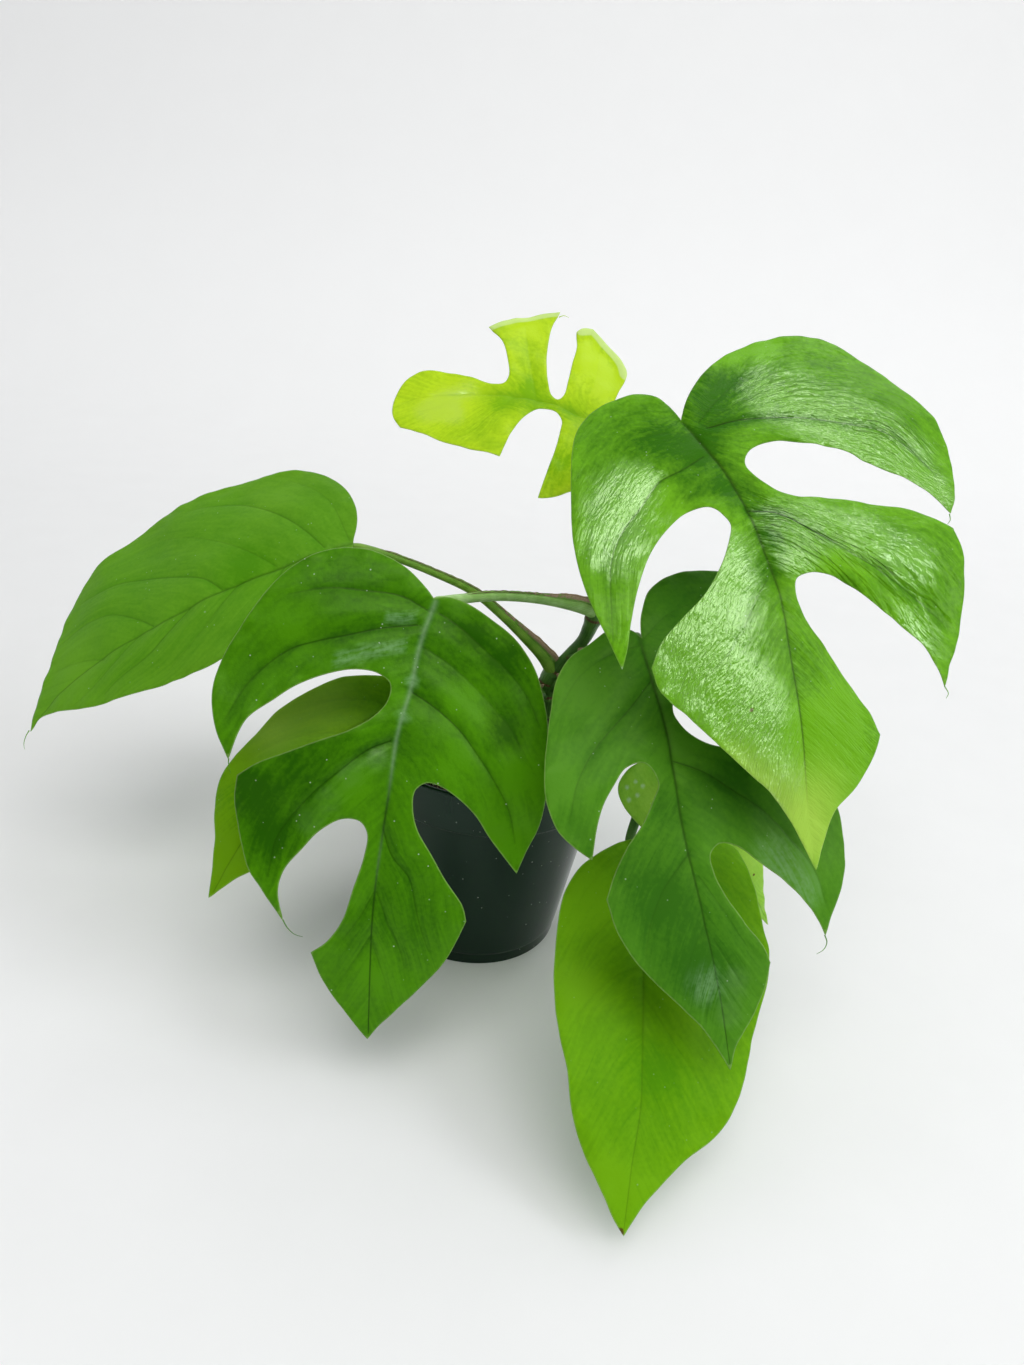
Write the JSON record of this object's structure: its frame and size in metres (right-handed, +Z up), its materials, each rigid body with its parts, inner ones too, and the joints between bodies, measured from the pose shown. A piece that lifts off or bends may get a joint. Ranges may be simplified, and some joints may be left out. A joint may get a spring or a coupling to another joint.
{
  "type": "potted mini monstera",
  "caption": "Young split-leaf climbing aroid standing in potting mix in a round dark green nursery pot, with glossy notched blades on arching stalks.",
  "frame": {"origin": "middle of the pot's underside, on the surface it stands on", "axes": "+Z up, -Y the front that most leaves lean to, +X right as seen from the front"},
  "size_m": [0.3386, 0.2461, 0.2562],
  "materials": {
    "pot": "semi-gloss moulded plastic",
    "potting_mix": "loose, dark and damp, with bark chips and white perlite",
    "stem": "satin green with brown leaf scars",
    "leaf_stalk": "satin, with dry brown sheath margins",
    "leaf": "satin to glossy, with paler veins and margins",
    "young_leaf": "glossy, thin and lime",
    "perlite": "matt white expanded grains",
    "bark": "rough brown chips",
    "dry_sheath": "thin, dry and papery, brown to purple"
  },
  "bodies": {
    "root": {"pot": "pot", "potting_mix": "potting_mix", "stem": "stem", "blade_far_left": "leaf", "stalk_far_left": "leaf_stalk", "blade_front_left": "leaf", "stalk_front_left": "leaf_stalk", "blade_low_left": "leaf", "stalk_low_left": "leaf_stalk", "blade_young_top": "young_leaf", "stalk_young_top": "leaf_stalk", "blade_upper_right": "leaf", "stalk_upper_right": "leaf_stalk", "blade_front_right": "leaf", "stalk_front_right": "leaf_stalk", "blade_low_right": "leaf", "stalk_low_right": "leaf_stalk", "blade_back_right": "leaf", "stalk_back_right": "leaf_stalk"}
  },
  "joints": []
}
